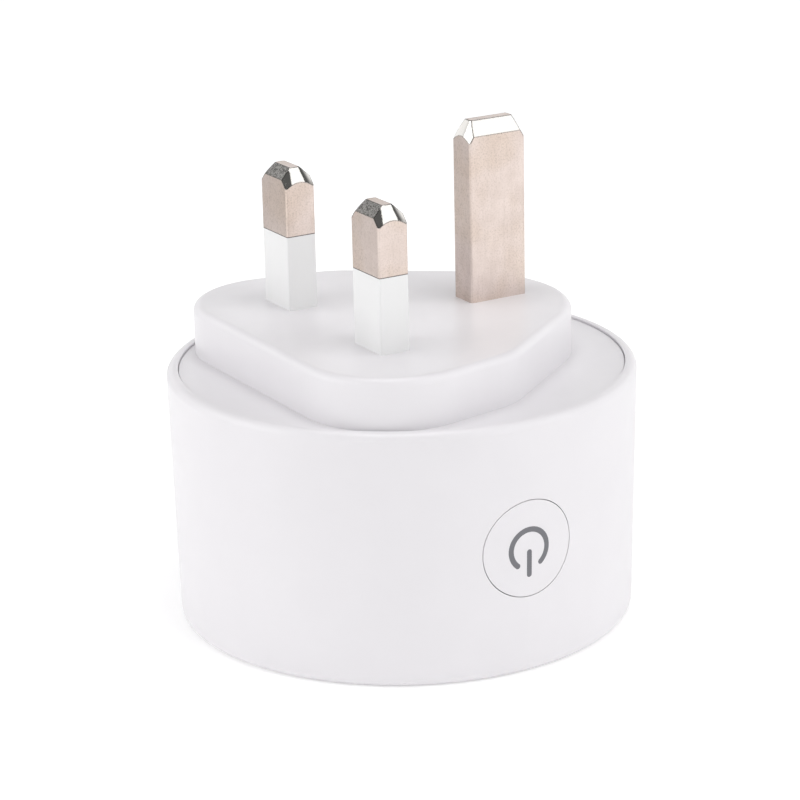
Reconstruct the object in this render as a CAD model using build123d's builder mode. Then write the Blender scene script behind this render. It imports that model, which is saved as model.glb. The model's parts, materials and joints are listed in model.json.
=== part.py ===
from build123d import *
import os

# A round smart plug for flat three-pin sockets: pins on the rear, a shuttered outlet on the front.
# Millimetres. The origin is the centre of the outlet face, which lies in Z = 0. +Z points towards the
# plug's pins, +Y towards the earth pin and +X towards the neutral pin and the side button.

os.makedirs("parts", exist_ok=True)

# ---------------------------------------------------------------- driving dimensions

# Housing
face_radius = 28.4            # outer radius at the outlet face
rim_radius = 29.0             # outer radius at the rear rim
rim_height = 31.7
outer_edge_radius = 1.0       # rounding of both outer rims
face_thickness = 2.4
cavity_radius = 26.2
cover_seat = 29.4             # ledge that the rear cover rests on
cover_recess_radius = 27.56
seam_edge_radius = 0.12
button_hole_depth = 4         # how far inside the cavity wall the button's hole starts
face_plate_radius = 24.6      # outlet face, set in the housing from behind
face_plate_gap = 0.1
face_flange_front = 1.2
face_flange_radius = 26.1

# Rear cover and its raised plateau
cover_radius = 27.5
cover_top = 31.45
plug_face = 37.75             # height of the face that meets the wall outlet
plateau_edge_radius = 1.0
plateau_wall = 2.0
plateau_roof = 2.45
corner_centre = (13.2, -9.45)
corner_radius = 11.0
flank_centre = (12.3, -1.7)
flank_radius = 10.4
crown_centre = (0, 7.2)
crown_radius = 15.0
spigot_radius = 26.0
spigot_wall = 1.4
spigot_depth = 0.8
cover_overlap = 0.5           # how far the plateau is sunk into the disc it stands on

# Plug pins, to the standard pattern
line_pin_x = 11.115
line_pin_y = -9.15
earth_pin_y = line_pin_y + 22.23
line_section = (6.35, 3.975)
earth_section = (3.975, 7.95)
line_pin_length = 17.7
earth_pin_length = 22.73
pin_corner = 0.25
sleeve_height = 9.3
sleeve_wall = 0.6
flange_thickness = 2.0
line_flange = (9.0, 6.6)
earth_flange = (6.6, 10.6)
flange_corner = 0.5
pin_tail = (4.0, 1.0)
pin_tail_offset = 1.45
pin_tail_gap = 0.2
earth_tail_radius = 2.0
# Tips: half width of the flat and slope of the chamfers, then the same for the turned cone
line_roof, line_cone = (0.65, 0.965), (1.93, 1.33)
earth_roof, earth_cone = (0.71, 1.39), (2.98, 1.87)
retainer_lobe = 6.5
retainer_thickness = 1.7

# Outlet
line_slot = (7.2, 4.8)
earth_slot = (4.8, 8.8)
slot_corner = 0.8
slot_lead_in = 0.4
collar_wall = 1.2
collar_top = 3.6
shutter_front = 4.0
shutter_rear = 7.0
carrier_front = 7.3
carrier_plate = 1.5
carrier_radius = 25.6
line_box = (10.6, 10.4)
earth_box = (10.4, 12.6)
box_wall = 1.0
line_box_top = 21.0
earth_box_top = 23.2
contact_sheet = 0.6
contact_bend = 0.5
post_radius = 2.1
strap_thickness = 0.8
strap_bend = 1.4
strap_rear = 31.0             # rear side of the earth strap, where the earth pin's tail rests

# Boards
board_front = 26.2
board_thickness = 1.6
board_radius = 25.2
board_rear = board_front + board_thickness

# Button
button_height = 15.85         # height of the button's centre
button_radius = 6.0
button_gap = 0.1
button_flange_radius = 6.8
button_flange = (24.2, 25.0)  # from, to along X
symbol_radius = 2.47
symbol_stroke = 0.68
symbol_half_gap = 40          # degrees, half the opening of the ring
symbol_floor = 28.25
symbol_bar = 3.5
symbol_bar_offset = -1.87
symbol_ring_height = button_height - 0.08

# Fasteners
screw_shank = 1.1
screw_head = 1.8
screw_head_height = 1.3
screw_head_edge = 0.4
screw_recess = (2.2, 0.5)
screw_recess_depth = 0.7
post_screw_depth = 6.0
carrier_screw_length = 5.5
boss_radius = 2.3
boss_places = [(-18.4, -15.0), (18.4, -15.0), (0, 22.9)]
board_post_places = [(-13.0, 17.6), (12.8, 17.8), (-19.0, -9.2)]
retainer_screw_places = [(0, -12.0), (-8.2, 3.0), (8.2, 3.0)]

# ---------------------------------------------------------------- shared values and shapes

carrier_rear = carrier_front + carrier_plate
roof_inside = plug_face - plateau_roof
flange_front = roof_inside - flange_thickness
retainer_front = flange_front - retainer_thickness
tail_front = board_front - 1.0
line_places = {"live": (-line_pin_x, line_pin_y), "neutral": (line_pin_x, line_pin_y)}
earth_place = (0, earth_pin_y)


def plateau_outline(inset=0.0):
    """The rounded triangle of the plateau, with two large corners, bulged flanks and a crown."""
    with BuildSketch() as outline:
        with Locations((-corner_centre[0], corner_centre[1]), corner_centre):
            Circle(corner_radius - inset)
        with Locations((-flank_centre[0], flank_centre[1]), flank_centre):
            Circle(flank_radius - inset)
        with Locations(crown_centre):
            Circle(crown_radius - inset)
        make_hull()
    return outline.sketch


def grown(section, margin):
    """A rectangular section made larger by a margin on every side."""
    return (section[0] + 2 * margin, section[1] + 2 * margin)


def taper_profile(taper, tip, bottom, reach=6.0):
    """Half the outline of a block whose top narrows to a flat, with taper = (half width, slope)."""
    half_flat, slope = taper
    wide = half_flat + reach
    return [(0, tip), (half_flat, tip), (wide, tip - reach * slope), (wide, bottom), (0, bottom)]


def pin_tip(place, tip, bottom, roof_plane, roof, cone, roof_length=12):
    """The space that a pin's tip may fill: a roof over its wide faces, met by a turned cone."""
    with BuildPart() as space:
        with BuildSketch(roof_plane):
            with BuildLine():
                Polyline(*taper_profile(roof, tip, bottom), close=True)
            make_face()
            mirror(about=Plane.YZ)
        extrude(amount=roof_length, both=True)
        with BuildSketch(Plane(origin=(*place, 0), x_dir=(1, 0, 0), z_dir=(0, -1, 0))):
            with BuildLine():
                Polyline(*taper_profile(cone, tip, bottom), close=True)
            make_face()
        revolve(axis=Axis((*place, 0), (0, 0, 1)), mode=Mode.INTERSECT)
    return space.part


def screws(places, seat, length, direction=1):
    """Pan-head screws whose heads rest on the plane z = seat and point along direction."""
    with BuildPart() as group:
        with BuildSketch(Plane.XY.offset(seat)):
            with Locations(*places):
                Circle(screw_head)
        extrude(amount=direction * screw_head_height)
        fillet(group.edges().group_by(Axis.Z)[-1 if direction > 0 else 0], screw_head_edge)
        with BuildSketch(Plane.XY.offset(seat + direction * screw_head_height)):
            with Locations(*places):
                Rectangle(*screw_recess)
                Rectangle(*reversed(screw_recess))
        extrude(amount=-direction * screw_recess_depth, mode=Mode.SUBTRACT)
        with BuildSketch(Plane.XY.offset(seat)):
            with Locations(*places):
                Circle(screw_shank)
        extrude(amount=-direction * length)
    return group.part


# ---------------------------------------------------------------- housing

with BuildPart() as front_shell:
    with BuildSketch(Plane.XZ) as shell_profile:
        with BuildLine():
            Polyline(
                (face_plate_radius + face_plate_gap, 0), (face_radius, 0), (rim_radius, rim_height),
                (cover_recess_radius, rim_height), (cover_recess_radius, cover_seat),
                (cavity_radius, cover_seat), (cavity_radius, face_flange_front),
                (face_plate_radius + face_plate_gap, face_flange_front), close=True,
            )
        make_face()
        fillet(shell_profile.vertices().sort_by(Axis.X)[-1], outer_edge_radius)
        fillet(shell_profile.vertices().group_by(Axis.Y)[0].sort_by(Axis.X)[-1], outer_edge_radius)
        fillet(shell_profile.vertices().group_by(Axis.Y)[0].sort_by(Axis.X)[0], seam_edge_radius)
        fillet(shell_profile.vertices().group_by(Axis.Y)[-1].sort_by(Axis.X)[0], seam_edge_radius)
    revolve(axis=Axis.Z)
    with BuildSketch(Plane.YZ.offset(cavity_radius - button_hole_depth)):
        with Locations((0, button_height)):
            Circle(button_radius + button_gap)
    extrude(amount=2 * button_hole_depth, mode=Mode.SUBTRACT)
front_shell.part.label = "front_shell"
export_step(front_shell.part, "parts/front_shell.step")

with BuildPart() as face_plate:
    with BuildSketch(Plane.XY):
        Circle(face_plate_radius)
    extrude(amount=face_thickness)
    fillet(face_plate.edges().group_by(Axis.Z)[0], seam_edge_radius)
    with BuildSketch(Plane.XY.offset(face_flange_front)):
        Circle(face_flange_radius)
    extrude(amount=face_thickness - face_flange_front)
    with BuildSketch(Plane.XY.offset(face_thickness)):
        with Locations(*line_places.values()):
            Rectangle(*grown(line_slot, collar_wall))
        with Locations(earth_place):
            Rectangle(*grown(earth_slot, collar_wall))
    extrude(amount=collar_top - face_thickness)
    with BuildSketch(Plane.XY):
        with Locations(*line_places.values()):
            RectangleRounded(*line_slot, slot_corner)
        with Locations(earth_place):
            RectangleRounded(*earth_slot, slot_corner)
    extrude(amount=collar_top, mode=Mode.SUBTRACT)
    slot_edges = [edge for edge in face_plate.edges().group_by(Axis.Z)[0] if edge.length < face_plate_radius]
    chamfer(slot_edges, slot_lead_in)
    with BuildSketch(Plane.XY.offset(face_thickness)):
        with Locations(*boss_places):
            Circle(boss_radius)
            Circle(screw_shank, mode=Mode.SUBTRACT)
    extrude(amount=carrier_front - face_thickness)
face_plate.part.label = "face_plate"
export_step(face_plate.part, "parts/face_plate.step")

with BuildPart() as rear_cover:
    with BuildSketch(Plane.XY.offset(cover_seat)):
        Circle(cover_radius)
    extrude(amount=cover_top - cover_seat)
    fillet(rear_cover.edges().group_by(Axis.Z)[-1], seam_edge_radius)
    with BuildSketch(Plane.XY.offset(cover_top - cover_overlap)):
        add(plateau_outline())
    extrude(amount=plug_face - cover_top + cover_overlap)
    fillet(rear_cover.edges().group_by(Axis.Z)[-1], plateau_edge_radius)
    with BuildSketch(Plane.XY.offset(cover_seat)):
        add(plateau_outline(plateau_wall))
    extrude(amount=roof_inside - cover_seat, mode=Mode.SUBTRACT)
    with BuildSketch(Plane.XY.offset(cover_seat - spigot_depth)):
        Circle(spigot_radius)
        Circle(spigot_radius - spigot_wall, mode=Mode.SUBTRACT)
    extrude(amount=spigot_depth)
    with BuildSketch(Plane.XY.offset(flange_front)):
        with Locations(*retainer_screw_places):
            Circle(boss_radius)
            Circle(screw_shank, mode=Mode.SUBTRACT)
    extrude(amount=flange_thickness)
    with BuildSketch(Plane.XY.offset(roof_inside)):
        with Locations(*line_places.values()):
            RectangleRounded(*line_section, pin_corner)
        with Locations(earth_place):
            RectangleRounded(*earth_section, pin_corner)
    extrude(amount=plateau_roof, mode=Mode.SUBTRACT)
rear_cover.part.label = "rear_cover"
export_step(rear_cover.part, "parts/rear_cover.step")

# ---------------------------------------------------------------- plug pins

for name, place in line_places.items():
    tip = plug_face + line_pin_length
    sleeve_top = plug_face + sleeve_height
    side_plane = Plane(origin=(*place, 0), x_dir=(0, 1, 0), z_dir=(1, 0, 0))
    tip_space = pin_tip(place, tip, tail_front, side_plane, line_roof, line_cone)
    with BuildPart() as line_pin:
        with BuildSketch(Plane.XY.offset(sleeve_top)):
            with Locations(place):
                RectangleRounded(*line_section, pin_corner)
        extrude(amount=tip - sleeve_top)
        with BuildSketch(Plane.XY.offset(roof_inside)):
            with Locations(place):
                RectangleRounded(*grown(line_section, -sleeve_wall), pin_corner)
        extrude(amount=sleeve_top - roof_inside)
        with BuildSketch(Plane.XY.offset(flange_front)):
            with Locations(place):
                RectangleRounded(*line_flange, flange_corner)
        extrude(amount=flange_thickness)
        with BuildSketch(Plane.XY.offset(tail_front)):
            with Locations((place[0], place[1] + pin_tail_offset)):
                Rectangle(*pin_tail)
        extrude(amount=flange_front - tail_front)
        add(tip_space, mode=Mode.INTERSECT)
    line_pin.part.label = f"{name}_pin"
    export_step(line_pin.part, f"parts/{name}_pin.step")

    with BuildPart() as pin_sleeve:
        with BuildSketch(Plane.XY.offset(roof_inside)):
            with Locations(place):
                RectangleRounded(*line_section, pin_corner)
                RectangleRounded(*grown(line_section, -sleeve_wall), pin_corner, mode=Mode.SUBTRACT)
        extrude(amount=sleeve_top - roof_inside)
    pin_sleeve.part.label = f"{name}_pin_sleeve"
    export_step(pin_sleeve.part, f"parts/{name}_pin_sleeve.step")

earth_tip = plug_face + earth_pin_length
earth_roof_plane = Plane(origin=(*earth_place, 0), x_dir=(1, 0, 0), z_dir=(0, -1, 0))
earth_tip_space = pin_tip(earth_place, earth_tip, strap_rear, earth_roof_plane, earth_roof, earth_cone)
with BuildPart() as earth_pin:
    with BuildSketch(Plane.XY.offset(roof_inside)):
        with Locations(earth_place):
            RectangleRounded(*earth_section, pin_corner)
    extrude(amount=earth_tip - roof_inside)
    with BuildSketch(Plane.XY.offset(flange_front)):
        with Locations(earth_place):
            RectangleRounded(*earth_flange, flange_corner)
    extrude(amount=flange_thickness)
    with BuildSketch(Plane.XY.offset(strap_rear)):
        with Locations(earth_place):
            Circle(earth_tail_radius)
    extrude(amount=flange_front - strap_rear)
    add(earth_tip_space, mode=Mode.INTERSECT)
earth_pin.part.label = "earth_pin"
export_step(earth_pin.part, "parts/earth_pin.step")

with BuildPart() as pin_retainer:
    with BuildSketch(Plane.XY.offset(retainer_front)):
        with Locations(*line_places.values(), earth_place):
            Circle(retainer_lobe)
        make_hull()
        with Locations(*retainer_screw_places):
            Circle(screw_shank, mode=Mode.SUBTRACT)
        for place in line_places.values():
            with Locations((place[0], place[1] + pin_tail_offset)):
                Rectangle(*grown(pin_tail, pin_tail_gap), mode=Mode.SUBTRACT)
        with Locations(earth_place):
            Circle(earth_tail_radius + pin_tail_gap, mode=Mode.SUBTRACT)
    extrude(amount=flange_front - retainer_front)
pin_retainer.part.label = "pin_retainer"
export_step(pin_retainer.part, "parts/pin_retainer.step")

retainer_screws = screws(retainer_screw_places, retainer_front, 2 * retainer_thickness, direction=-1)
retainer_screws.label = "retainer_screws"
export_step(retainer_screws, "parts/retainer_screws.step")

# ---------------------------------------------------------------- outlet

rail_x = 4.5
rail_y = 1.0
rail_size = (1.2, 13.2)
rail_front = shutter_front + 0.2
spring_post = (4.0, 1.4)
spring_post_y = -24.1
with BuildPart() as contact_carrier:
    with BuildSketch(Plane.XY.offset(carrier_front)):
        Circle(carrier_radius)
    extrude(amount=carrier_plate)
    with BuildSketch(Plane.XY.offset(carrier_rear)):
        with Locations(*line_places.values()):
            Rectangle(*line_box)
    extrude(amount=line_box_top - carrier_rear)
    with BuildSketch(Plane.XY.offset(carrier_rear)):
        with Locations(earth_place):
            Rectangle(*earth_box)
    extrude(amount=earth_box_top - carrier_rear)
    with BuildSketch(Plane.XY.offset(carrier_rear)):
        with Locations(*board_post_places):
            Circle(post_radius)
    extrude(amount=board_front - carrier_rear)
    with BuildSketch(Plane.XY.offset(board_front)):
        with Locations(*board_post_places):
            Circle(screw_shank)
    extrude(amount=-post_screw_depth, mode=Mode.SUBTRACT)
    with BuildSketch(Plane.XY.offset(carrier_rear)):
        with Locations(*line_places.values()):
            Rectangle(*grown(line_box, -box_wall))
        with Locations(earth_place):
            Rectangle(*grown(earth_box, -box_wall))
    extrude(amount=earth_box_top - carrier_rear, mode=Mode.SUBTRACT)
    with BuildSketch(Plane.XY.offset(carrier_front)):
        with Locations(*line_places.values()):
            RectangleRounded(*line_slot, slot_corner)
        with Locations(earth_place):
            RectangleRounded(*earth_slot, slot_corner)
        with Locations(*boss_places):
            Circle(screw_shank)
    extrude(amount=carrier_plate, mode=Mode.SUBTRACT)
    # Rails beside the shutter's web, and the post behind its spring
    with BuildSketch(Plane.XY.offset(carrier_front)):
        with Locations((-rail_x, rail_y), (rail_x, rail_y)):
            Rectangle(*rail_size)
        with Locations((0, spring_post_y)):
            Rectangle(*spring_post)
    extrude(amount=-(carrier_front - rail_front))
contact_carrier.part.label = "contact_carrier"
export_step(contact_carrier.part, "parts/contact_carrier.step")

carrier_screws = screws(boss_places, carrier_rear, carrier_screw_length)
carrier_screws.label = "carrier_screws"
export_step(carrier_screws, "parts/carrier_screws.step")



def contact_profile(half_width, pinch, levels):
    """A sprung clip pinched near its mouth, with levels = heights of mouth, pinch, throat and base."""
    mouth, narrow, throat, base = levels
    side = [(half_width, mouth), (pinch, narrow), (half_width, throat), (half_width, base)]
    return [(-y, z) for y, z in side] + side[::-1]


line_contact_levels = (9.6, 11.8, 14.6, 19.2)
earth_contact_levels = (10.2, 12.6, 15.6, 23.6)
line_contact_throat = 3.2     # half the clip's width behind the pinch
earth_contact_throat = 3.1
line_contact_half_length = 2.7
earth_contact_half_length = 3.8
contact_pinch = 1.9
contact_tab = (2.6, 1.0)
contact_tab_offset = -2.45
contact_tab_rear = board_rear + 0.6
for name, place in line_places.items():
    with BuildPart() as line_contact:
        with BuildSketch(Plane(origin=(*place, 0), x_dir=(0, 1, 0), z_dir=(1, 0, 0))):
            with BuildLine():
                FilletPolyline(
                    *contact_profile(line_contact_throat, contact_pinch, line_contact_levels),
                    radius=contact_bend,
                )
                offset(amount=contact_sheet, side=Side.LEFT)
            make_face()
        extrude(amount=line_contact_half_length, both=True)
        with BuildSketch(Plane.XY.offset(line_contact_levels[-1])):
            with Locations((place[0], place[1] + contact_tab_offset)):
                Rectangle(*contact_tab)
        extrude(amount=contact_tab_rear - line_contact_levels[-1])
    line_contact.part.label = f"{name}_contact"
    export_step(line_contact.part, f"parts/{name}_contact.step")

with BuildPart() as earth_contact:
    with BuildSketch(Plane(origin=(*earth_place, 0), x_dir=(1, 0, 0), z_dir=(0, -1, 0))):
        with BuildLine():
            FilletPolyline(
                *contact_profile(earth_contact_throat, contact_pinch, earth_contact_levels),
                radius=contact_bend,
            )
            offset(amount=contact_sheet, side=Side.LEFT)
        make_face()
    extrude(amount=earth_contact_half_length, both=True)
earth_contact.part.label = "earth_contact"
export_step(earth_contact.part, "parts/earth_contact.step")

strap_front = earth_contact_levels[-1] + contact_sheet
strap_reach = (10.2, 19.6)    # from, to along Y
strap_half_width = 2.5
with BuildPart() as earth_strap:
    with BuildSketch(Plane.YZ):
        with BuildLine():
            FilletPolyline(
                (strap_reach[0], strap_rear), (strap_reach[1], strap_rear),
                (strap_reach[1], strap_front), (strap_reach[0], strap_front), radius=strap_bend,
            )
            offset(amount=strap_thickness, side=Side.RIGHT)
        make_face()
    extrude(amount=strap_half_width, both=True)
earth_strap.part.label = "earth_strap"
export_step(earth_strap.part, "parts/earth_strap.step")

# The shutter covers both line slots and is pushed aside by the earth pin of an inserted plug
shutter_back = -11.9
flap_depth = 5.5
flap_reach = 15.1
web_width = 7.0
web_end = 14.0
ramp_start = 8.7
ramp_tip = 0.6                # what is left of the web's thickness at the ramp's end
notch = (1.8, 5.4)
notch_y = 11.35
spring_pocket = (3.4, 5.2)
with BuildPart() as shutter:
    with BuildSketch(Plane.XY.offset(shutter_front)):
        with Locations((0, shutter_back + flap_depth / 2)):
            Rectangle(2 * flap_reach, flap_depth)
        with Locations((0, (shutter_back + web_end) / 2)):
            Rectangle(web_width, web_end - shutter_back)
        with Locations((0, shutter_back + spring_pocket[1] / 2)):
            Rectangle(*spring_pocket, mode=Mode.SUBTRACT)
    extrude(amount=shutter_rear - shutter_front)
    with BuildSketch(Plane.YZ):
        with BuildLine():
            Polyline(
                (ramp_start, shutter_front), (web_end, shutter_rear - ramp_tip),
                (web_end, shutter_front), close=True,
            )
        make_face()
    extrude(amount=web_width, both=True, mode=Mode.SUBTRACT)
    with BuildSketch(Plane.XY.offset(shutter_front)):
        with Locations((-web_width / 2, notch_y), (web_width / 2, notch_y)):
            Rectangle(*notch)
    extrude(amount=shutter_rear - shutter_front, mode=Mode.SUBTRACT)
shutter.part.label = "shutter"
export_step(shutter.part, "parts/shutter.step")

spring_wire = 0.35
spring_turns = 11
spring_radius = 1.15
spring_start = -23.2
spring_end = shutter_back + spring_pocket[1] - spring_wire / 2 - 0.05
spring_height = (shutter_front + shutter_rear) / 2
with BuildPart() as shutter_spring:
    with BuildLine() as coil:
        Helix(
            pitch=(spring_end - spring_start) / spring_turns, height=spring_end - spring_start,
            radius=spring_radius, center=(0, spring_start, spring_height), direction=(0, 1, 0),
        )
    with BuildSketch(Plane(origin=coil.line @ 0, z_dir=coil.line % 0)):
        Circle(spring_wire / 2)
    sweep()
shutter_spring.part.label = "shutter_spring"
export_step(shutter_spring.part, "parts/shutter_spring.step")

# ---------------------------------------------------------------- side button

symbol_ring = CenterArc(
    (0, symbol_ring_height), symbol_radius, 270 + symbol_half_gap, 360 - 2 * symbol_half_gap)


def symbol_outline():
    """A ring open towards the outlet face, with a bar standing in the opening."""
    with BuildSketch() as outline:
        SlotArc(symbol_ring, symbol_stroke)
        with Locations((0, button_height + symbol_bar_offset)):
            SlotOverall(symbol_bar, symbol_stroke, rotation=90)
    return outline.sketch


def skin_profile():
    """The housing's outer taper as a filled profile, which the button is flush with."""
    with BuildSketch() as profile:
        with BuildLine():
            Polyline((0, 0), (face_radius, 0), (rim_radius, rim_height), (0, rim_height), close=True)
        make_face()
    return profile.sketch


button_wall = 1.2
button_hollow = 2.8
stem_radius = 1.6
stem_back = button_flange[0] - 0.7
stem_length = 3.6
skin_reach = 6
with BuildPart() as button_cap:
    with BuildSketch(Plane.YZ.offset(button_flange[0])):
        with Locations((0, button_height)):
            Circle(button_radius)
    extrude(amount=skin_reach)
    with BuildSketch(Plane.XZ):
        add(skin_profile())
    revolve(axis=Axis.Z, mode=Mode.INTERSECT)
    with BuildSketch(Plane.YZ.offset(button_flange[0])):
        with Locations((0, button_height)):
            Circle(button_flange_radius)
    extrude(amount=button_flange[1] - button_flange[0])
    with BuildSketch(Plane.YZ.offset(button_flange[0])):
        with Locations((0, button_height)):
            Circle(button_radius - button_wall)
    extrude(amount=button_hollow, mode=Mode.SUBTRACT)
    with BuildSketch(Plane.YZ.offset(stem_back)):
        with Locations((0, button_height)):
            Circle(stem_radius)
    extrude(amount=stem_length)
    with BuildSketch(Plane.YZ.offset(symbol_floor)):
        add(symbol_outline())
    extrude(amount=skin_reach, mode=Mode.SUBTRACT)
button_cap.part.label = "button_cap"
export_step(button_cap.part, "parts/button_cap.step")

with BuildPart() as power_symbol:
    with BuildSketch(Plane.YZ.offset(symbol_floor)):
        add(symbol_outline())
    extrude(amount=skin_reach)
    with BuildSketch(Plane.XZ):
        add(skin_profile())
    revolve(axis=Axis.Z, mode=Mode.INTERSECT)
power_symbol.part.label = "power_symbol"
export_step(power_symbol.part, "parts/power_symbol.step")

button_board_back = 17.3
button_board_front = 18.5
button_board_height = 16.2    # height of the small board's centre
button_board_size = (16.8, 12.3)
frame_back = 17.0
frame_depth = 6.4
frame_outer = (18.8, 14.4)
frame_inner = (15.6, 12.4)
frame_groove = (16.9, 12.4)
switch_size = 6.0
switch_corner = 0.4
switch_top = 21.9
switch_bore = (1.83, 1.9)     # radius and depth
plunger_radius = 1.75
plunger_depth = 1.0
plunger_edge = 0.2
plunger_end = stem_back - 0.05
led_y = 5.4
led_size = (2.8, 3.5)
led_height = 1.9
with BuildPart() as button_frame:
    with BuildSketch(Plane.YZ.offset(frame_back)):
        with Locations((0, button_board_height)):
            Rectangle(*frame_outer)
            Rectangle(*frame_inner, mode=Mode.SUBTRACT)
    extrude(amount=frame_depth)
    with BuildSketch(Plane.YZ.offset(button_board_back)):
        with Locations((0, button_board_height)):
            Rectangle(*frame_groove)
    extrude(amount=button_board_front - button_board_back, mode=Mode.SUBTRACT)
button_frame.part.label = "button_frame"
export_step(button_frame.part, "parts/button_frame.step")

with BuildPart() as button_board:
    with BuildSketch(Plane.YZ.offset(button_board_back)):
        with Locations((0, button_board_height)):
            Rectangle(*button_board_size)
    extrude(amount=button_board_front - button_board_back)
button_board.part.label = "button_board"
export_step(button_board.part, "parts/button_board.step")

with BuildPart() as switch_body:
    with BuildSketch(Plane.YZ.offset(button_board_front)):
        with Locations((0, button_height)):
            RectangleRounded(switch_size, switch_size, switch_corner)
    extrude(amount=switch_top - button_board_front)
    with BuildSketch(Plane.YZ.offset(switch_top - switch_bore[1])):
        with Locations((0, button_height)):
            Circle(switch_bore[0])
    extrude(amount=switch_bore[1], mode=Mode.SUBTRACT)
switch_body.part.label = "switch_body"
export_step(switch_body.part, "parts/switch_body.step")

with BuildPart() as switch_plunger:
    with BuildSketch(Plane.YZ.offset(switch_top - plunger_depth)):
        with Locations((0, button_height)):
            Circle(plunger_radius)
    extrude(amount=plunger_end - switch_top + plunger_depth)
    fillet(switch_plunger.edges().group_by(Axis.X)[-1], plunger_edge)
switch_plunger.part.label = "switch_plunger"
export_step(switch_plunger.part, "parts/switch_plunger.step")

with BuildPart() as indicator_led:
    with BuildSketch(Plane.YZ.offset(button_board_front)):
        with Locations((led_y, button_height)):
            RectangleRounded(*led_size, switch_corner)
    extrude(amount=led_height)
indicator_led.part.label = "indicator_led"
export_step(indicator_led.part, "parts/indicator_led.step")

# ---------------------------------------------------------------- power board and its parts

header_x = -16.3
header_pitch = 2.54
header_places = [(header_x, 0.75 + header_pitch * step) for step in range(6)]
header_pin_radius = 0.32
header_hole_radius = 0.5
contact_tab_slot = (3.0, 1.4)
strap_slot = (5.6, 3.2)
lead_radius = 0.35
with BuildPart() as power_board:
    with BuildSketch(Plane.XY.offset(board_front)):
        Circle(board_radius)
        for place in line_places.values():
            with Locations((place[0], place[1] + pin_tail_offset)):
                Rectangle(*grown(pin_tail, pin_tail_gap), mode=Mode.SUBTRACT)
            with Locations((place[0], place[1] + contact_tab_offset)):
                Rectangle(*contact_tab_slot, mode=Mode.SUBTRACT)
        with Locations((0, strap_reach[1])):
            Rectangle(*strap_slot, mode=Mode.SUBTRACT)
        with Locations(*board_post_places):
            Circle(screw_shank, mode=Mode.SUBTRACT)
        with Locations(*header_places):
            Circle(header_hole_radius, mode=Mode.SUBTRACT)
    extrude(amount=board_thickness)
power_board.part.label = "power_board"
export_step(power_board.part, "parts/power_board.step")

board_screws = screws(board_post_places, board_rear, post_screw_depth)
board_screws.label = "board_screws"
export_step(board_screws, "parts/board_screws.step")

# Relay: base on the board, coil upright, armature hinged on the yoke's free end
relay_centre = (0, -12.8)
relay_size = (10.2, 18.4)
relay_base_thickness = 1.6
relay_case_front = 11.2
relay_wall = 0.6
relay_base_front = board_front - relay_base_thickness
coil_y = -16.8
pole_face = 14.4
yoke_y = -11.6
hinge_height = 13.9
blade_y = -10.1
contact_height = 21.0
pole_thickness = 0.4
core_radius = 1.6
spool_radius = 2.2
winding_radius = 3.8
bobbin_flange = 0.8
bobbin_radius = 4.2
bobbin_rear = relay_base_front - pole_thickness
yoke_sheet = 1.0
yoke_foot = 3.0               # how far the yoke's foot reaches past the coil's axis
yoke_half_width = 3.6
armature_height = hinge_height - 0.9
armature_thickness = 0.8
armature_reach = (coil_y - 3.4, blade_y - 0.2)
armature_half_width = 3.4
blade_sheet = 0.3
blade_half_width = 2.0
blade_reach = (hinge_height - 1.3, contact_height + 1.6)
button_contact_radius = 1.3
moving_contact_depth = 0.6
fixed_contact_depth = 0.5
fixed_sheet = 0.6
fixed_sheet_reach = 1.6
contact_opening = 0.62
case_edge = 0.3

with BuildPart() as relay_base:
    with BuildSketch(Plane.XY.offset(relay_base_front)):
        with Locations(relay_centre):
            Rectangle(*relay_size)
    extrude(amount=relay_base_thickness)
relay_base.part.label = "relay_base"
export_step(relay_base.part, "parts/relay_base.step")

with BuildPart() as relay_case:
    with BuildSketch(Plane.XY.offset(relay_case_front)):
        with Locations(relay_centre):
            Rectangle(*relay_size)
    extrude(amount=relay_base_front - relay_case_front)
    with BuildSketch(Plane.XY.offset(relay_case_front + relay_wall)):
        with Locations(relay_centre):
            Rectangle(*grown(relay_size, -relay_wall))
    extrude(amount=relay_base_front - relay_case_front - relay_wall, mode=Mode.SUBTRACT)
    fillet(relay_case.edges().group_by(Axis.Z)[0], case_edge)
relay_case.part.label = "relay_case"
export_step(relay_case.part, "parts/relay_case.step")

with BuildPart() as relay_bobbin:
    for level in (pole_face + pole_thickness, bobbin_rear - bobbin_flange):
        with BuildSketch(Plane.XY.offset(level)):
            with Locations((0, coil_y)):
                Circle(bobbin_radius)
        extrude(amount=bobbin_flange)
    with BuildSketch(Plane.XY.offset(pole_face + pole_thickness)):
        with Locations((0, coil_y)):
            Circle(spool_radius)
    extrude(amount=bobbin_rear - pole_face - pole_thickness)
    with BuildSketch(Plane.XY.offset(pole_face)):
        with Locations((0, coil_y)):
            Circle(core_radius)
    extrude(amount=relay_base_front - pole_face, mode=Mode.SUBTRACT)
relay_bobbin.part.label = "relay_bobbin"
export_step(relay_bobbin.part, "parts/relay_bobbin.step")

with BuildPart() as relay_winding:
    with BuildSketch(Plane.XY.offset(pole_face + pole_thickness + bobbin_flange)):
        with Locations((0, coil_y)):
            Circle(winding_radius)
            Circle(spool_radius, mode=Mode.SUBTRACT)
    extrude(amount=bobbin_rear - pole_face - pole_thickness - 2 * bobbin_flange)
relay_winding.part.label = "relay_winding"
export_step(relay_winding.part, "parts/relay_winding.step")

with BuildPart() as relay_core:
    with BuildSketch(Plane.XY.offset(pole_face + pole_thickness)):
        with Locations((0, coil_y)):
            Circle(core_radius)
    extrude(amount=bobbin_rear - pole_face - pole_thickness)
    with BuildSketch(Plane.XY.offset(pole_face)):
        with Locations((0, coil_y)):
            Circle(yoke_foot)
    extrude(amount=pole_thickness)
relay_core.part.label = "relay_core"
export_step(relay_core.part, "parts/relay_core.step")

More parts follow.
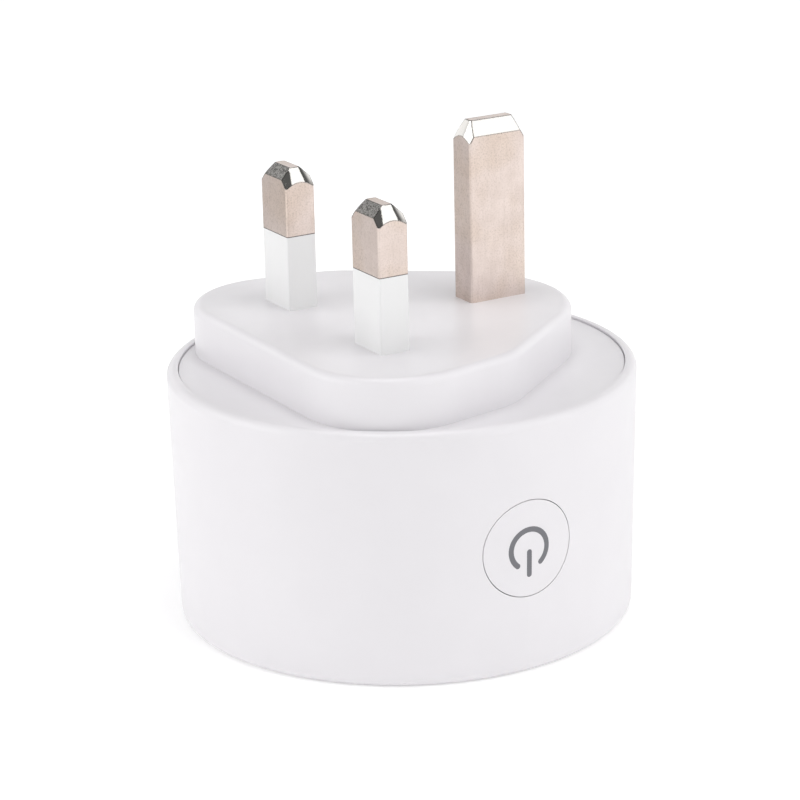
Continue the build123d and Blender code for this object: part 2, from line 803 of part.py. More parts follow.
with BuildPart() as relay_yoke:
    with BuildSketch(Plane.YZ):
        with Locations((yoke_y, (pole_face + relay_base_front) / 2)):
            Rectangle(yoke_sheet, relay_base_front - pole_face)
        with Locations(((coil_y - yoke_foot + yoke_y) / 2, relay_base_front - pole_thickness / 2)):
            Rectangle(yoke_y - coil_y + yoke_foot, pole_thickness)
    extrude(amount=yoke_half_width, both=True)
relay_yoke.part.label = "relay_yoke"
export_step(relay_yoke.part, "parts/relay_yoke.step")

with BuildPart() as relay_armature:
    with BuildSketch(Plane.YZ):
        with Locations((sum(armature_reach) / 2, armature_height)):
            Rectangle(armature_reach[1] - armature_reach[0], armature_thickness)
    extrude(amount=armature_half_width, both=True)
relay_armature.part.label = "relay_armature"
export_step(relay_armature.part, "parts/relay_armature.step")

blade_face = blade_y + blade_sheet / 2
with BuildPart() as moving_contact:
    with BuildSketch(Plane.YZ):
        with Locations((blade_y, sum(blade_reach) / 2)):
            Rectangle(blade_sheet, blade_reach[1] - blade_reach[0])
    extrude(amount=blade_half_width, both=True)
    with BuildSketch(Plane.XZ.offset(-blade_face)):
        with Locations((0, contact_height)):
            Circle(button_contact_radius)
    extrude(amount=-moving_contact_depth)
moving_contact.part.label = "moving_contact"
export_step(moving_contact.part, "parts/moving_contact.step")

fixed_contact_face = blade_face + moving_contact_depth + contact_opening
fixed_contact_front = contact_height - fixed_sheet_reach
with BuildPart() as fixed_contact:
    with BuildSketch(Plane.XZ.offset(-fixed_contact_face)):
        with Locations((0, contact_height)):
            Circle(button_contact_radius)
    extrude(amount=-fixed_contact_depth)
    with BuildSketch(Plane.XZ.offset(-fixed_contact_face - fixed_contact_depth)):
        with Locations((0, (fixed_contact_front + relay_base_front) / 2)):
            Rectangle(2 * blade_half_width, relay_base_front - fixed_contact_front)
    extrude(amount=-fixed_sheet)
fixed_contact.part.label = "fixed_contact"
export_step(fixed_contact.part, "parts/fixed_contact.step")

# Parts that hang from the board's front side
capacitor_edge = 0.6
capacitor_places = {"input_capacitor": (-8.3, 1.0, 4.0, 13.5), "output_capacitor": (8.3, 1.0, 3.15, 11.0)}
for name, (x, y, radius, height) in capacitor_places.items():
    with BuildPart() as capacitor:
        with BuildSketch(Plane.XY.offset(board_front)):
            with Locations((x, y)):
                Circle(radius)
        extrude(amount=-height)
        fillet(capacitor.edges().group_by(Axis.Z)[0], capacitor_edge)
    capacitor.part.label = name
    export_step(capacitor.part, f"parts/{name}.step")

noise_capacitor_place = (-20.4, 2.0)
noise_capacitor_size = (5.6, 12.0)
noise_capacitor_height = 11.0
with BuildPart() as noise_capacitor:
    with BuildSketch(Plane.XY.offset(board_front)):
        with Locations(noise_capacitor_place):
            RectangleRounded(*noise_capacitor_size, capacitor_edge)
    extrude(amount=-noise_capacitor_height)
noise_capacitor.part.label = "noise_capacitor"
export_step(noise_capacitor.part, "parts/noise_capacitor.step")

inductor_place = (11.6, 9.2)
inductor_radius = 4.2
inductor_flange = 1.4
inductor_neck = (1.8, 6.2)    # radius and length
inductor_winding_radius = 3.6
winding_rear = board_front - inductor_flange
with BuildPart() as inductor_core:
    for level in (board_front, winding_rear - inductor_neck[1]):
        with BuildSketch(Plane.XY.offset(level)):
            with Locations(inductor_place):
                Circle(inductor_radius)
        extrude(amount=-inductor_flange)
    with BuildSketch(Plane.XY.offset(winding_rear)):
        with Locations(inductor_place):
            Circle(inductor_neck[0])
    extrude(amount=-inductor_neck[1])
inductor_core.part.label = "inductor_core"
export_step(inductor_core.part, "parts/inductor_core.step")

with BuildPart() as inductor_winding:
    with BuildSketch(Plane.XY.offset(winding_rear)):
        with Locations(inductor_place):
            Circle(inductor_winding_radius)
            Circle(inductor_neck[0], mode=Mode.SUBTRACT)
    extrude(amount=-inductor_neck[1])
inductor_winding.part.label = "inductor_winding"
export_step(inductor_winding.part, "parts/inductor_winding.step")

varistor_place = (-10.6, -16.9, 21.0)
varistor_radius = 4.4
varistor_thickness = 3.4
varistor_edge = 1.2
varistor_lead_pitch = 5.0
varistor_lead_length = 3.6
varistor_middle = varistor_place[1] - varistor_thickness / 2
with BuildPart() as varistor:
    with BuildSketch(Plane.XZ.offset(-varistor_place[1])):
        with Locations((varistor_place[0], varistor_place[2])):
            Circle(varistor_radius)
    extrude(amount=varistor_thickness)
    fillet(varistor.edges().filter_by(GeomType.CIRCLE), varistor_edge)
    with BuildSketch(Plane.XY.offset(board_front)):
        for side in (-1, 1):
            with Locations((varistor_place[0] + side * varistor_lead_pitch / 2, varistor_middle)):
                Circle(lead_radius)
    extrude(amount=-varistor_lead_length)
varistor.part.label = "varistor"
export_step(varistor.part, "parts/varistor.step")

resistor_place = (10.4, -18.4)
resistor_size = (2.0, 10.0)   # radius and length
resistor_edge = 0.5
resistor_standoff = 0.8
with BuildPart() as fusible_resistor:
    with BuildSketch(Plane.XY.offset(board_front - resistor_standoff)):
        with Locations(resistor_place):
            Circle(resistor_size[0])
    extrude(amount=-resistor_size[1])
    fillet(fusible_resistor.edges(), resistor_edge)
    with BuildSketch(Plane.XY.offset(board_front)):
        with Locations(resistor_place):
            Circle(lead_radius)
    extrude(amount=-resistor_standoff - resistor_edge)
fusible_resistor.part.label = "fusible_resistor"
export_step(fusible_resistor.part, "parts/fusible_resistor.step")

# Flat packages on the board's rear side: centre, footprint and height
rear_packages = {
    "bridge_rectifier": ((-5.0, -15.6), (4.8, 4.0), 2.3),
    "converter_chip": ((5.0, -15.6), (5.0, 4.0), 1.6),
    "metering_chip": ((0, -4.5), (6.2, 4.4), 1.6),
    "current_shunt": ((-11.1, -0.5), (6.4, 3.2), 0.7),
}
package_chamfer = 0.2
for name, (centre, footprint, height) in rear_packages.items():
    with BuildPart() as package:
        with BuildSketch(Plane.XY.offset(board_rear)):
            with Locations(centre):
                Rectangle(*footprint)
        extrude(amount=height)
        chamfer(package.edges().group_by(Axis.Z)[-1], package_chamfer)
    package.part.label = name
    export_step(package.part, f"parts/{name}.step")

# Radio module, standing on the board
radio_face = -14.5
radio_y = 7.25
radio_board_height = 17.9     # height of the module board's centre
radio_board_size = (15.5, 16.6)
radio_board_thickness = 1.0
shield_height = 19.2          # height of the shield's centre
shield_size = (12.6, 10.0)
shield_depth = 1.8
shield_sheet = 0.2
shield_corner = 0.6
radio_chip_size = 5.0
radio_chip_thickness = 0.9
with BuildPart() as radio_board:
    with BuildSketch(Plane.YZ.offset(radio_face)):
        with Locations((radio_y, radio_board_height)):
            Rectangle(*radio_board_size)
    extrude(amount=-radio_board_thickness)
radio_board.part.label = "radio_board"
export_step(radio_board.part, "parts/radio_board.step")

with BuildPart() as radio_shield:
    with BuildSketch(Plane.YZ.offset(radio_face)):
        with Locations((radio_y, shield_height)):
            RectangleRounded(*shield_size, shield_corner)
    extrude(amount=shield_depth)
    with BuildSketch(Plane.YZ.offset(radio_face)):
        with Locations((radio_y, shield_height)):
            RectangleRounded(*grown(shield_size, -shield_sheet), shield_corner - shield_sheet)
    extrude(amount=shield_depth - shield_sheet, mode=Mode.SUBTRACT)
radio_shield.part.label = "radio_shield"
export_step(radio_shield.part, "parts/radio_shield.step")

with BuildPart() as radio_chip:
    with BuildSketch(Plane.YZ.offset(radio_face)):
        with Locations((radio_y, shield_height)):
            Rectangle(radio_chip_size, radio_chip_size)
    extrude(amount=radio_chip_thickness)
radio_chip.part.label = "radio_chip"
export_step(radio_chip.part, "parts/radio_chip.step")

antenna_pitch = 2.0
antenna_start = 1.25
antenna_low = 10.4
antenna_high = 12.6
antenna_trace = 0.4
antenna_thickness = 0.1
antenna_legs = 6
with BuildPart() as antenna:
    with BuildSketch(Plane.YZ.offset(radio_face)):
        for step in range(antenna_legs):
            with Locations((antenna_start + antenna_pitch * step, (antenna_low + antenna_high) / 2)):
                Rectangle(antenna_trace, antenna_high - antenna_low + antenna_trace)
        for step in range(antenna_legs - 1):
            level = antenna_high if step % 2 else antenna_low
            with Locations((antenna_start + antenna_pitch * (step + 0.5), level)):
                Rectangle(antenna_pitch, antenna_trace)
    extrude(amount=antenna_thickness)
antenna.part.label = "antenna"
export_step(antenna.part, "parts/antenna.step")

header_bar = (1.6, 15.0)
header_bar_y = 7.1
header_bar_front = 23.7
header_tail = 0.8
with BuildPart() as radio_header:
    with BuildSketch(Plane.XY.offset(header_bar_front)):
        with Locations((header_x, header_bar_y)):
            Rectangle(*header_bar)
    extrude(amount=board_front - header_bar_front)
    with BuildSketch(Plane.XY.offset(board_front)):
        with Locations(*header_places):
            Circle(header_pin_radius)
    extrude(amount=board_thickness + header_tail)
radio_header.part.label = "radio_header"
export_step(radio_header.part, "parts/radio_header.step")
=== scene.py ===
import json
from math import cos, pi, radians, sin

import bmesh
import bpy
from mathutils import Matrix, Vector


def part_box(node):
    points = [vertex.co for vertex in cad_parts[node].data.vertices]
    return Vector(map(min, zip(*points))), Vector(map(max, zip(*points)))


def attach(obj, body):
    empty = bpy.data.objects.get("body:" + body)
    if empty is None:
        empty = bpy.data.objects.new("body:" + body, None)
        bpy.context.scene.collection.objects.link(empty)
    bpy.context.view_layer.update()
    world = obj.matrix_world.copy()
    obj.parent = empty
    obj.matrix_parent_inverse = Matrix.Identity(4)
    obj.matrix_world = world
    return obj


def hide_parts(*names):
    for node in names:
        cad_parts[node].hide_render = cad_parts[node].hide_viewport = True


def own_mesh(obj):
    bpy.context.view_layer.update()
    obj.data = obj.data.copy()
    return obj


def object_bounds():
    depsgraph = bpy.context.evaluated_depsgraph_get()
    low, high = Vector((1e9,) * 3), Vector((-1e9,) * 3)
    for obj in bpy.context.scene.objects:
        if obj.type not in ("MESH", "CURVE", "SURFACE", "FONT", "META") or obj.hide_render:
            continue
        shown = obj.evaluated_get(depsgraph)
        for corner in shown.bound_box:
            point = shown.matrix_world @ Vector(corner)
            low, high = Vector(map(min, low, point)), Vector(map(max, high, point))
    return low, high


# A round smart plug standing on its outlet face, with its three pins upwards. Metres, in the CAD frame:
# +Z points along the pins, +Y towards the earth pin, +X towards the neutral pin and the side button.
# Azimuths turn from -Y towards +X.

MM = 0.001

# Camera
CAMERA_AZIMUTH = radians(59.626)
CAMERA_ELEVATION = radians(18.284)
CAMERA_ROLL = radians(-1.241)
CAMERA_DISTANCE = 368.04 * MM
CAMERA_AIM_HEIGHT = 30 * MM
CAMERA_SLIDE = (-0.284 * MM, -3.486 * MM)      # from the aim point, to the right and upwards
CAMERA_LENS = 133.93
CAMERA_SENSOR = 36
CAMERA_CLIP_START = 10 * MM

# Shutter spring
SPRING_WIRE = 0.35 * MM
SPRING_TURNS = 12
SPRING_CLOSED_TURNS = 1.5
SPRING_STEPS = 32

# Floor and light; directions of the sky are given by their height, 0 at the horizon and 1 overhead
FLOOR_RADIUS = 3.0
FLOOR_SEGMENTS = 96
FLOOR_GAP = 0.02 * MM          # below the outlet face
FLOOR_GLOW = (0.20, 0.42)      # under the object and in the distance
FLOOR_GLOW_REACH = (0.06, 0.45)
HORIZON_LIGHT = 1.18
OVERHEAD_LIGHT = 0.12
ROOM_FADE = (0.30, 0.55)       # heights between which the room's light falls off
SOFTBOX_DISTANCE = 0.6

# Metal edges
BEVEL_SAMPLES = 8
RIDGE_FACING = (0.955, 0.995)  # cosine between the bevelled and the true normal, on a ridge and off it

# Nickel plate. The slope of a face is the height of its normal. A band of slopes is a pair for where it
# starts and a pair for where it ends.
TIP_SLOPES = ((0.20, 0.35), (0.85, 0.95))
MILLED_SLOPES = ((0.63, 0.68), (0.78, 0.84))
NICKEL_GRAIN = 0.22 * MM
NICKEL_EDGE = 0.12 * MM
# Width of the painted dark reflection lines along the ridges of the pins
NICKEL_PAINTED_RIDGE_WIDTH = 0.25 * MM
MILLED_DEPTH = 0.05 * MM
SKIN_DEPTH = 0.03 * MM
NICKEL_PLATED = ((0.73, 0.63, 0.585), (0.665, 0.566, 0.518))
NICKEL_STAINED = (0.65, 0.525, 0.43)
NICKEL_DRAWN = (0.54, 0.455, 0.40)
NICKEL_GRAINED = (0.42, 0.34, 0.29)
NICKEL_TURNED = (0.73, 0.71, 0.68)
# Milled flats: near-black painted shade, broken up by the grit pattern
NICKEL_MILLED_PAINTED_SHADE = (0.11, 0.105, 0.10)
# Colour of the painted dark reflection lines along the ridges
NICKEL_PAINTED_RIDGE_REFLECTION = (0.07, 0.06, 0.055)

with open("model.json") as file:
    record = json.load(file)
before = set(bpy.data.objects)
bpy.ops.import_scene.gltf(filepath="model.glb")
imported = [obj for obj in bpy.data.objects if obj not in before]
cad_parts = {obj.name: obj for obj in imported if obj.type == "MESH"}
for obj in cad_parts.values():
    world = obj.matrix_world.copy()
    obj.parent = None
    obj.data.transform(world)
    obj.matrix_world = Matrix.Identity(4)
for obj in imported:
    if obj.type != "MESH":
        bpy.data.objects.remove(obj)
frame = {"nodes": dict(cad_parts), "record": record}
cad_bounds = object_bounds()
nodes = frame["nodes"]
slot_of = {part["node"]: part["material_slot"] for part in frame["record"]["subparts"]}


# ---------------------------------------------------------------- material building blocks

class Surface:
    """One procedural material: a Principled shader whose inputs are fed by small node chains."""

    def __init__(self, name, metallic=0.0, ior=1.46, coat=0.0):
        self.material = bpy.data.materials.new(name)
        self.material.use_nodes = True
        self.tree = self.material.node_tree
        self.shader = next(n for n in self.tree.nodes if n.type == "BSDF_PRINCIPLED")
        self.shader.inputs["Metallic"].default_value = metallic
        self.shader.inputs["IOR"].default_value = ior
        self.shader.inputs["Coat Weight"].default_value = coat
        self.coordinates = self.node("ShaderNodeTexCoord")
        self.place = self.coordinates.outputs["Object"]

    def node(self, kind, **settings):
        made = self.tree.nodes.new(kind)
        for key, value in settings.items():
            setattr(made, key, value)
        return made

    def link(self, source, target):
        self.tree.links.new(source, target)

    def stretched(self, scale):
        """Object coordinates scaled along each axis, for grain that runs in one direction."""
        mapping = self.node("ShaderNodeMapping")
        mapping.inputs["Scale"].default_value = scale
        self.link(self.place, mapping.inputs["Vector"])
        return mapping.outputs["Vector"]

    def noise(self, size, detail=3.0, roughness=0.5, place=None):
        """A cloud of values about 0.5 whose features are size metres across."""
        noise = self.node("ShaderNodeTexNoise")
        noise.inputs["Scale"].default_value = 1 / size
        noise.inputs["Detail"].default_value = detail
        noise.inputs["Roughness"].default_value = roughness
        self.link(place or self.place, noise.inputs["Vector"])
        return noise.outputs["Fac"]

    def spread(self, value, low, high, start=0.3, end=0.7):
        """Maps the stretch from start to end of a value onto low to high."""
        spread = self.node("ShaderNodeMapRange")
        limits = {"From Min": start, "From Max": end, "To Min": low, "To Max": high}
        for socket, number in limits.items():
            spread.inputs[socket].default_value = number
        self.link(value, spread.inputs["Value"])
        return spread.outputs["Result"]

    def band(self, value, rise, fall):
        """1 between the rise and the fall of a value, each of which is a stretch from start to end."""
        return self.product(self.spread(value, 0, 1, *rise), self.spread(value, 1, 0, *fall))

    def arithmetic(self, operation, first, second):
        result = self.node("ShaderNodeMath", operation=operation)
        self.link(first, result.inputs[0])
        self.link(second, result.inputs[1])
        return result.outputs["Value"]

    def product(self, first, second):
        return self.arithmetic("MULTIPLY", first, second)

    def total(self, first, second):
        return self.arithmetic("ADD", first, second)

    def mix(self, amount, first, second):
        """A colour between two others; each may be a colour or the output of another node."""
        mix = self.node("ShaderNodeMix", data_type="RGBA")
        self.link(amount, mix.inputs["Factor"])
        for value, socket in ((first, mix.inputs[6]), (second, mix.inputs[7])):
            if isinstance(value, tuple):
                socket.default_value = (*value, 1)
            else:
                self.link(value, socket)
        return mix.outputs[2]

    def worn_edges(self, width):
        """Normals that turn over an edge as if it were rounded to that width."""
        bevel = self.node("ShaderNodeBevel", samples=BEVEL_SAMPLES)
        bevel.inputs["Radius"].default_value = width
        return bevel.outputs["Normal"]

    def ridges(self, width):
        """1 on a sharp edge, 0 further from it than that width."""
        facing = self.node("ShaderNodeVectorMath", operation="DOT_PRODUCT")
        self.link(self.worn_edges(width), facing.inputs[0])
        self.link(self.node("ShaderNodeNewGeometry").outputs["Normal"], facing.inputs[1])
        return self.spread(facing.outputs["Value"], 1, 0, *RIDGE_FACING)

    def colour(self, value):
        self.link(value, self.shader.inputs["Base Color"])

    def roughness(self, value):
        self.link(value, self.shader.inputs["Roughness"])

    def relief(self, *layers, edge=0):
        """Bump made of (height value, depth in metres) layers, one on another, over worn edges."""
        normal = self.worn_edges(edge) if edge else None
        for height, depth in layers:
            bump = self.node("ShaderNodeBump")
            bump.inputs["Distance"].default_value = depth
            self.link(height, bump.inputs["Height"])
            if normal:
                self.link(normal, bump.inputs["Normal"])
            normal = bump.outputs["Normal"]
        self.link(normal, self.shader.inputs["Normal"])


def moulded_plastic(name, colour, shade, roughness=(0.30, 0.37), depth=0.0015 * MM):
    """Satin moulded plastic with a fine eroded texture and faint flow marks."""
    plastic = Surface(name, ior=1.48)
    clouds = plastic.noise(9 * MM, detail=2)
    fine = plastic.noise(0.4 * MM, detail=3, roughness=0.6)
    tone = plastic.mix(plastic.spread(clouds, 0, 1), colour, shade)
    plastic.colour(plastic.mix(plastic.spread(fine, 0, 0.1), tone, shade))
    plastic.roughness(plastic.spread(plastic.noise(2.5 * MM), *roughness))
    plastic.relief((fine, depth), (clouds, depth * 4))
    return plastic.material


def plated_metal(name, colour, shade, roughness=(0.20, 0.34), pits=0.22 * MM, brushed=(1, 1, 1)):
    """Plated or bare metal with pits, blotches of tarnish and worn edges; brushing draws out the pits."""
    metal = Surface(name, metallic=1.0)
    clouds = metal.noise(3.0 * MM, detail=4)
    grain = metal.noise(pits, detail=3, roughness=0.6, place=metal.stretched(brushed))
    tone = metal.mix(metal.spread(clouds, 0, 1), colour, shade)
    pitted = metal.mix(metal.spread(grain, 0, 0.35, start=0.55, end=0.75), tone, shade)
    metal.colour(pitted)
    metal.roughness(metal.spread(grain, *roughness))
    metal.relief((grain, 0.004 * MM), (clouds, 0.004 * MM), edge=0.08 * MM)
    return metal.material


def nickel_plate():
    """Nickel over brass: satin grained sides, bright turned tips, grainy milled flats darkened with
    painted shade, and painted dark reflection lines along the ridges.
    """
    nickel = Surface("nickel_plate", metallic=1.0)
    normal = nickel.node("ShaderNodeSeparateXYZ")
    nickel.link(nickel.coordinates.outputs["Normal"], normal.inputs["Vector"])
    tip = nickel.band(normal.outputs["Z"], *TIP_SLOPES)
    milled = nickel.band(normal.outputs["Z"], *MILLED_SLOPES)
    clouds = nickel.noise(2.2 * MM, detail=3)
    stains = nickel.noise(7 * MM, detail=2)
    drawn = nickel.noise(0.3 * MM, detail=3, place=nickel.stretched((1, 1, 0.06)))
    peel = nickel.noise(NICKEL_GRAIN, detail=3, roughness=0.65)
    grit = nickel.noise(NICKEL_GRAIN, detail=3, roughness=0.7)

    tone = nickel.mix(nickel.spread(clouds, 0, 1), *NICKEL_PLATED)
    tone = nickel.mix(nickel.spread(stains, 0, 0.6, start=0.45, end=0.7), tone, NICKEL_STAINED)
    tone = nickel.mix(nickel.spread(drawn, 0, 0.3, start=0.5, end=0.75), tone, NICKEL_DRAWN)
    grained = nickel.spread(peel, 0, 0.7, start=0.48, end=0.68)
    tone = nickel.mix(nickel.product(grained, nickel.spread(stains, 0.3, 1)), tone, NICKEL_GRAINED)
    tone = nickel.mix(tip, tone, NICKEL_TURNED)
    # Painted shade on the milled flats, mixed in by the real grit pattern
    grit_and_painted_shade = nickel.spread(grit, 0.35, 1, start=0.4, end=0.6)
    tone = nickel.mix(nickel.product(milled, grit_and_painted_shade), tone, NICKEL_MILLED_PAINTED_SHADE)
    # Painted dark reflection: thin dark lines laid along the ridges of the pins
    nickel.colour(nickel.mix(nickel.ridges(NICKEL_PAINTED_RIDGE_WIDTH), tone, NICKEL_PAINTED_RIDGE_REFLECTION))

    finish = nickel.spread(tip, 0.31, 0.07, start=0, end=1)
    finish = nickel.total(finish, nickel.product(milled, nickel.spread(grit, 0.22, 0.4)))
    nickel.roughness(nickel.total(finish, nickel.spread(clouds, -0.02, 0.04)))

    skin = nickel.product(nickel.spread(tip, 1, 0.1, start=0, end=1), peel)
    skin = nickel.product(skin, nickel.spread(stains, 0.3, 1))
    nickel.relief((nickel.product(milled, grit), MILLED_DEPTH), (skin, SKIN_DEPTH), edge=NICKEL_EDGE)
    return nickel.material


def circuit_board():
    """Green solder mask over copper tracks and a woven glass base."""
    board = Surface("circuit_board", ior=1.5, coat=0.3)
    weave = board.noise(0.5 * MM, detail=2, place=board.stretched((1, 4, 1)))
    tracks = board.node("ShaderNodeTexBrick", offset=0.5)
    tracks.inputs["Scale"].default_value = 1 / (4 * MM)
    tracks.inputs["Mortar Size"].default_value = 0.06
    board.link(board.place, tracks.inputs["Vector"])
    mask = board.mix(board.spread(weave, 0, 1), (0.012, 0.11, 0.045), (0.02, 0.16, 0.06))
    board.colour(board.mix(tracks.outputs["Fac"], mask, (0.06, 0.25, 0.09)))
    board.roughness(board.spread(weave, 0.25, 0.4))
    board.relief((tracks.outputs["Fac"], 0.02 * MM), (weave, 0.004 * MM))
    return board.material


def wound_wire():
    """Enamelled copper wire laid in close turns around Z, with painted shade between the turns and a
    painted highlight on each turn.
    """
    wire = Surface("copper_wire", metallic=1.0, coat=0.5)
    turns = wire.node("ShaderNodeTexWave", bands_direction="Z")
    turns.inputs["Scale"].default_value = 1 / (3.0 * MM)
    turns.inputs["Distortion"].default_value = 0.6
    wire.link(wire.place, turns.inputs["Vector"])
    # Painted shade in the grooves between turns and painted highlight on the crest of each turn
    wire.colour(wire.mix(turns.outputs["Fac"], (0.35, 0.11, 0.04), (0.85, 0.38, 0.18)))
    wire.roughness(wire.spread(wire.noise(0.6 * MM), 0.25, 0.4))
    wire.relief((turns.outputs["Fac"], 0.06 * MM))
    return wire.material


def floor_paper():
    """Matt white sheet with a faint tooth, lit from below, more so further out, as on a light table."""
    paper = Surface("backdrop_paper")
    paper.shader.inputs["Emission Color"].default_value = (1, 1, 1, 1)
    reach = paper.node("ShaderNodeVectorMath", operation="LENGTH")
    paper.link(paper.place, reach.inputs[0])
    glow = paper.spread(reach.outputs["Value"], *FLOOR_GLOW, *FLOOR_GLOW_REACH)
    paper.link(glow, paper.shader.inputs["Emission Strength"])
    tooth = paper.noise(0.8 * MM, detail=4)
    paper.colour(paper.mix(tooth, (0.93, 0.93, 0.93), (0.95, 0.95, 0.95)))
    paper.roughness(paper.spread(tooth, 0.85, 0.95))
    paper.relief((tooth, 0.01 * MM))
    return paper.material


def make_materials():
    """One material for each slot of the record."""
    made = {}

    def plastic(slot, *look, **finish):
        made[slot] = moulded_plastic(slot, *look, **finish)

    def metal(slot, *look, **finish):
        made[slot] = plated_metal(slot, *look, **finish)

    plastic("housing_white", (0.742, 0.726, 0.748), (0.728, 0.712, 0.734))
    plastic("symbol_grey", (0.165, 0.165, 0.18), (0.145, 0.145, 0.16))
    made["nickel_plate"] = nickel_plate()
    plastic("sleeve_white", (0.785, 0.785, 0.785), (0.765, 0.765, 0.765), (0.38, 0.5))
    plastic("carrier_plastic", (0.62, 0.62, 0.60), (0.55, 0.55, 0.53))
    plastic("shutter_plastic", (0.72, 0.71, 0.68), (0.66, 0.65, 0.62), (0.3, 0.4))
    metal("contact_brass", (0.80, 0.60, 0.28), (0.66, 0.47, 0.20))
    metal("spring_steel", (0.60, 0.60, 0.62), (0.45, 0.45, 0.47), pits=0.1 * MM)
    metal("screw_steel", (0.62, 0.61, 0.58), (0.50, 0.49, 0.47))
    made["circuit_board"] = circuit_board()
    plastic("relay_plastic", (0.02, 0.10, 0.35), (0.015, 0.07, 0.27))
    plastic("black_plastic", (0.022, 0.022, 0.024), (0.04, 0.04, 0.042), (0.4, 0.6))
    plastic("plunger_plastic", (0.05, 0.05, 0.055), (0.03, 0.03, 0.035))
    made["copper_wire"] = wound_wire()
    metal("soft_iron", (0.50, 0.49, 0.47), (0.36, 0.35, 0.34), (0.35, 0.5))
    plastic("ferrite", (0.045, 0.043, 0.042), (0.075, 0.07, 0.068), (0.6, 0.8), depth=0.02 * MM)
    plastic("capacitor_sleeve", (0.02, 0.02, 0.03), (0.05, 0.05, 0.07), (0.2, 0.3))
    plastic("film_capacitor", (0.75, 0.52, 0.06), (0.66, 0.44, 0.05), (0.3, 0.45))
    plastic("varistor_blue", (0.03, 0.16, 0.50), (0.02, 0.11, 0.40), (0.25, 0.4))
    plastic("resistor_coat", (0.16, 0.30, 0.18), (0.12, 0.24, 0.14), (0.5, 0.7))
    metal("shunt_alloy", (0.55, 0.50, 0.46), (0.42, 0.38, 0.35))
    metal("shield_tin", (0.70, 0.70, 0.69), (0.58, 0.58, 0.57), brushed=(1, 6, 1))
    plastic("led_lens", (0.80, 0.80, 0.76), (0.76, 0.76, 0.72), (0.15, 0.25))
    return made


def dress(materials):
    """Every CAD node takes the procedural material of its slot in the record."""
    for name, slot in slot_of.items():
        nodes[name].data.materials.clear()
        nodes[name].data.materials.append(materials[slot])


# ---------------------------------------------------------------- pieces

def coil_point(turn, centre, radius, start, end):
    """A place on the coil after so many turns: closed turns at both ends, open ones between them."""
    open_turns = SPRING_TURNS - 2 * SPRING_CLOSED_TURNS
    opened = min(max(turn - SPRING_CLOSED_TURNS, 0), open_turns)
    open_length = end - start - 2 * SPRING_CLOSED_TURNS * SPRING_WIRE
    along = start + (turn - opened) * SPRING_WIRE + opened / open_turns * open_length
    angle = 2 * pi * turn
    return centre.x + radius * cos(angle), along, centre.z + radius * sin(angle), 1


def coil_mesh(low, high):
    """Round wire wound along Y that fills the box from low to high."""
    centre = (low + high) / 2
    radius = (high.x - low.x) / 2 - SPRING_WIRE / 2
    start, end = low.y + SPRING_WIRE, high.y - SPRING_WIRE / 2
    curve = bpy.data.curves.new("shutter_spring_coil", "CURVE")
    curve.dimensions = "3D"
    curve.bevel_depth = SPRING_WIRE / 2
    curve.bevel_resolution = 4
    curve.use_fill_caps = True
    spline = curve.splines.new("POLY")
    spline.points.add(SPRING_STEPS * SPRING_TURNS)
    for step, point in enumerate(spline.points):
        point.co = coil_point(step / SPRING_STEPS, centre, radius, start, end)
    coil = bpy.data.objects.new("shutter_spring_curve", curve)
    bpy.context.scene.collection.objects.link(coil)
    bpy.context.view_layer.update()
    mesh = bpy.data.meshes.new_from_object(coil.evaluated_get(bpy.context.evaluated_depsgraph_get()))
    bpy.data.objects.remove(coil)
    return mesh


def add_shutter_spring():
    """A coil spring with closed ends, between the carrier's post and the shutter's pocket."""
    low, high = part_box("shutter_spring")
    mesh = coil_mesh(low, high)
    mesh.shade_smooth()
    mesh.materials.clear()
    mesh.materials.append(nodes["shutter_spring"].data.materials[0])
    spring = bpy.data.objects.new("shutter_spring_coil", mesh)
    bpy.context.scene.collection.objects.link(spring)
    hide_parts("shutter_spring")
    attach(spring, "housing")
    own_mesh(spring)


# ---------------------------------------------------------------- stage, light and camera

def add_floor():
    mesh = bpy.data.meshes.new("floor")
    disc = bmesh.new()
    bmesh.ops.create_circle(disc, cap_ends=True, segments=FLOOR_SEGMENTS, radius=FLOOR_RADIUS)
    disc.to_mesh(mesh)
    disc.free()
    floor = bpy.data.objects.new("floor", mesh)
    floor.location.z = cad_bounds[0][2] - FLOOR_GAP
    mesh.materials.append(floor_paper())
    bpy.context.scene.collection.objects.link(floor)


def view_axes(azimuth, elevation):
    """Unit vectors to the right, upwards and back, for what looks at the object from that side."""
    back = Vector((sin(azimuth) * cos(elevation), -cos(azimuth) * cos(elevation), sin(elevation)))
    right = (-back).cross(Vector((0, 0, 1))).normalized()
    return right, right.cross(-back), back


def placed(position, right, up, back):
    """The matrix of a camera or light that stands there with those axes."""
    return Matrix.Translation(position) @ Matrix((right, up, back)).transposed().to_4x4()


def add_camera():
    right, up, back = view_axes(CAMERA_AZIMUTH, CAMERA_ELEVATION)
    aim = Vector((0, 0, CAMERA_AIM_HEIGHT)) + right * CAMERA_SLIDE[0] + up * CAMERA_SLIDE[1]
    rolled_right = cos(CAMERA_ROLL) * right + sin(CAMERA_ROLL) * up
    rolled_up = cos(CAMERA_ROLL) * up - sin(CAMERA_ROLL) * right
    data = bpy.data.cameras.new("camera")
    data.lens = CAMERA_LENS
    data.sensor_width = CAMERA_SENSOR
    data.clip_start = CAMERA_CLIP_START
    camera = bpy.data.objects.new("camera", data)
    camera.matrix_world = placed(aim + back * CAMERA_DISTANCE, rolled_right, rolled_up, back)
    bpy.context.scene.collection.objects.link(camera)
    bpy.context.scene.camera = camera


def add_softbox(name, azimuth, elevation, size, radiance):
    """A square softbox of that radiance, facing the middle of the object."""
    data = bpy.data.lights.new(name, "AREA")
    data.shape = "SQUARE"
    data.size = size
    data.energy = radiance * pi * size * size
    light = bpy.data.objects.new(name, data)
    middle = Vector((0, 0, CAMERA_AIM_HEIGHT))
    right, up, back = view_axes(radians(azimuth), radians(elevation))
    light.matrix_world = placed(middle + back * SOFTBOX_DISTANCE, right, up, back)
    bpy.context.scene.collection.objects.link(light)


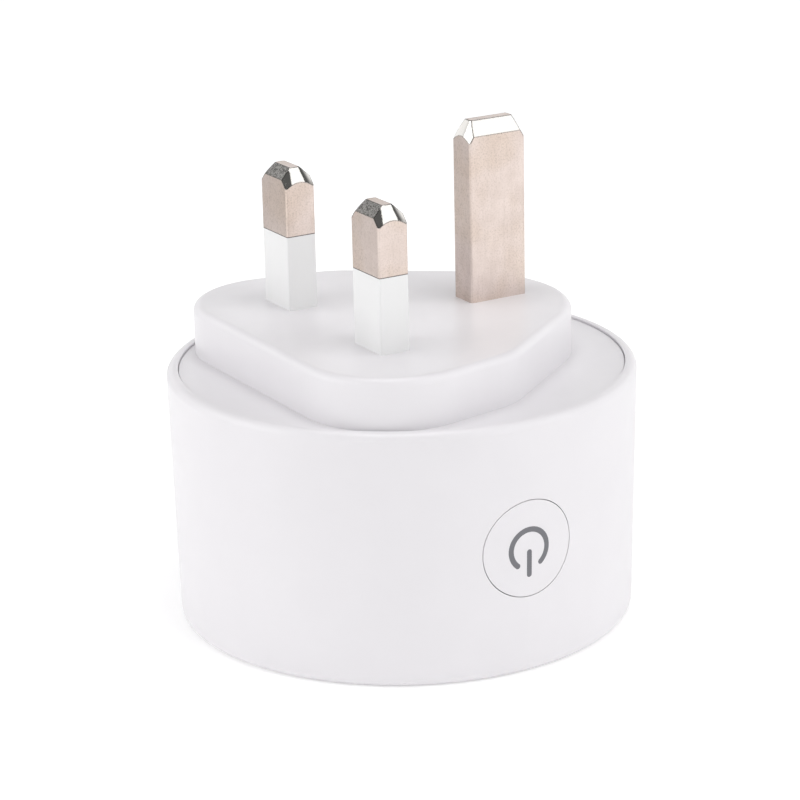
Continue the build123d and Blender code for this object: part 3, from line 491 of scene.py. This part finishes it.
def add_flag(name, azimuth, distance, width, height):
    """A grey card that stands on the floor and shows only in reflections."""
    right, _, back = view_axes(radians(azimuth), 0)
    foot = back * distance
    mesh = bpy.data.meshes.new(name)
    card = bmesh.new()
    corners = [foot + right * side * width / 2 + Vector((0, 0, level))
               for side, level in ((-1, 0), (1, 0), (1, height), (-1, height))]
    card.faces.new([card.verts.new(corner) for corner in corners])
    card.to_mesh(mesh)
    card.free()
    flag = bpy.data.objects.new(name, mesh)
    card_grey, card_shade = (0.58, 0.58, 0.58), (0.54, 0.54, 0.54)
    mesh.materials.append(moulded_plastic("flag_card", card_grey, card_shade, roughness=(0.8, 0.9)))
    flag.visible_camera = flag.visible_diffuse = flag.visible_shadow = flag.visible_transmission = False
    bpy.context.scene.collection.objects.link(flag)


def add_room_light():
    """A white room up to about the height of the softboxes, and dimmer overhead."""
    world = bpy.data.worlds.new("studio")
    world.use_nodes = True
    tree = world.node_tree
    background = next(n for n in tree.nodes if n.type == "BACKGROUND")
    direction = tree.nodes.new("ShaderNodeTexCoord").outputs["Generated"]
    split = tree.nodes.new("ShaderNodeSeparateXYZ")
    fade = tree.nodes.new("ShaderNodeMapRange")
    fade.interpolation_type = "SMOOTHSTEP"
    limits = {"From Min": ROOM_FADE[0], "From Max": ROOM_FADE[1],
              "To Min": HORIZON_LIGHT, "To Max": OVERHEAD_LIGHT}
    for socket, number in limits.items():
        fade.inputs[socket].default_value = number
    tree.links.new(direction, split.inputs["Vector"])
    tree.links.new(split.outputs["Z"], fade.inputs["Value"])
    tree.links.new(fade.outputs["Result"], background.inputs["Strength"])
    background.inputs["Color"].default_value = (1, 1, 1, 1)
    bpy.context.scene.world = world


def add_lights():
    add_room_light()
    add_softbox("right_softbox", azimuth=125, elevation=40, size=0.6, radiance=1.36)
    add_softbox("left_softbox", azimuth=-20, elevation=22, size=0.5, radiance=1.6)
    add_softbox("top_softbox", azimuth=0, elevation=89, size=0.4, radiance=3.3)
    add_flag("left_flag", azimuth=-60, distance=0.16, width=0.25, height=0.06)
    bpy.context.scene.view_settings.view_transform = "Standard"


dress(make_materials())
add_shutter_spring()
add_floor()
add_lights()
add_camera()
